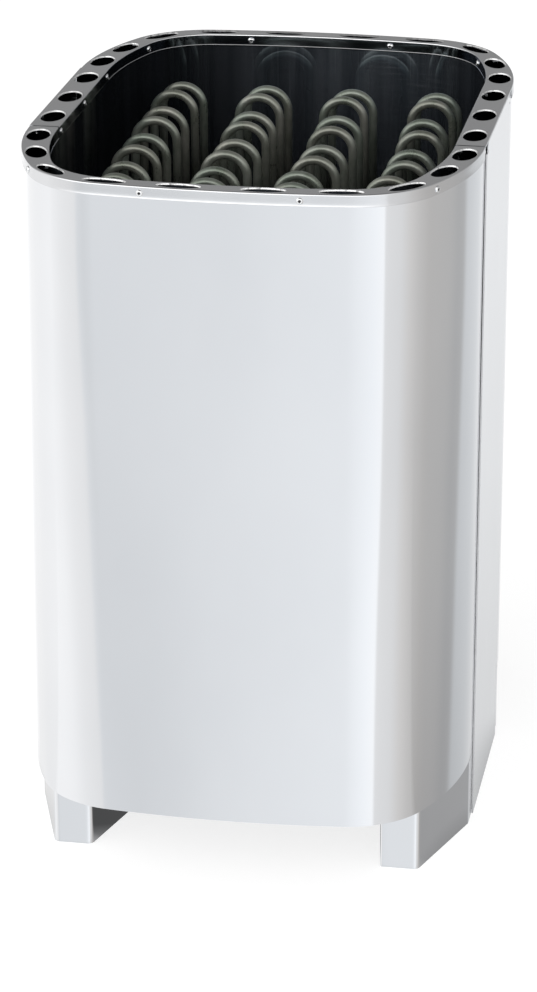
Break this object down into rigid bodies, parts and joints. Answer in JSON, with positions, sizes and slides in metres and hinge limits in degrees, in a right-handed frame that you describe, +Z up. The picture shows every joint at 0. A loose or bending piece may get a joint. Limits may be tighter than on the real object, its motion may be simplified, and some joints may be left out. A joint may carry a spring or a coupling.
{
  "type": "sauna heater stove",
  "caption": "Floor-standing electric sauna heater: polished steel casing on folded legs, slotted air rim and an open stone compartment with tubular heating elements.",
  "frame": {"origin": "on the floor, under the middle of the casing", "axes": "+Z up, front towards -Y, +X to the right as seen from the front"},
  "size_m": [0.427, 0.585, 0.68],
  "materials": {
    "casing_steel": "polished stainless sheet",
    "rim_steel": "polished stainless sheet",
    "liner_steel": "dark glossy sheet",
    "element_sheath": "satin, grey-green oxide",
    "zinc_steel": "zinc-coated sheet",
    "block_ceramic": "matte",
    "link_brass": "plain",
    "gland_plastic": "matte",
    "rivet_steel": "bright domed heads"
  },
  "bodies": {
    "root": {"front_shell": "casing_steel", "rear_shell": "casing_steel", "side_panel_left": "casing_steel", "side_panel_right": "casing_steel", "front_leg_frame": "casing_steel", "rear_leg_frame": "casing_steel", "rim_front": "rim_steel", "rim_rear": "rim_steel", "liner_front": "liner_steel", "liner_rear": "liner_steel", "liner_left": "liner_steel", "liner_right": "liner_steel", "heating_element_row1_1": "element_sheath", "heating_element_row1_2": "element_sheath", "heating_element_row1_3": "element_sheath", "heating_element_row1_4": "element_sheath", "heating_element_row2_1": "element_sheath", "heating_element_row2_2": "element_sheath", "heating_element_row2_3": "element_sheath", "heating_element_row2_4": "element_sheath", "heating_element_row3_1": "element_sheath", "heating_element_row3_2": "element_sheath", "heating_element_row3_3": "element_sheath", "heating_element_row3_4": "element_sheath", "heating_element_row4_1": "element_sheath", "heating_element_row4_2": "element_sheath", "heating_element_row4_3": "element_sheath", "heating_element_row4_4": "element_sheath", "compartment_floor": "zinc_steel", "wiring_box": "zinc_steel", "wiring_box_cover": "zinc_steel", "floor_heat_shield": "zinc_steel", "terminal_block": "block_ceramic", "neutral_link_plate": "link_brass", "cable_gland": "gland_plastic", "rivet_front_outer_1": "rivet_steel", "rivet_front_outer_2": "rivet_steel", "rivet_front_outer_3": "rivet_steel", "rivet_front_outer_4": "rivet_steel", "rivet_rear_outer_1": "rivet_steel", "rivet_rear_outer_2": "rivet_steel", "rivet_rear_outer_3": "rivet_steel", "rivet_rear_outer_4": "rivet_steel", "rivet_front_inner_1": "rivet_steel", "rivet_front_inner_2": "rivet_steel", "rivet_front_inner_3": "rivet_steel", "rivet_front_inner_4": "rivet_steel", "rivet_rear_inner_1": "rivet_steel", "rivet_rear_inner_2": "rivet_steel", "rivet_rear_inner_3": "rivet_steel", "rivet_rear_inner_4": "rivet_steel", "rivet_right_inner_1": "rivet_steel", "rivet_right_inner_2": "rivet_steel", "rivet_right_inner_3": "rivet_steel", "rivet_left_inner_1": "rivet_steel", "rivet_left_inner_2": "rivet_steel", "rivet_left_inner_3": "rivet_steel"}
  },
  "joints": []
}
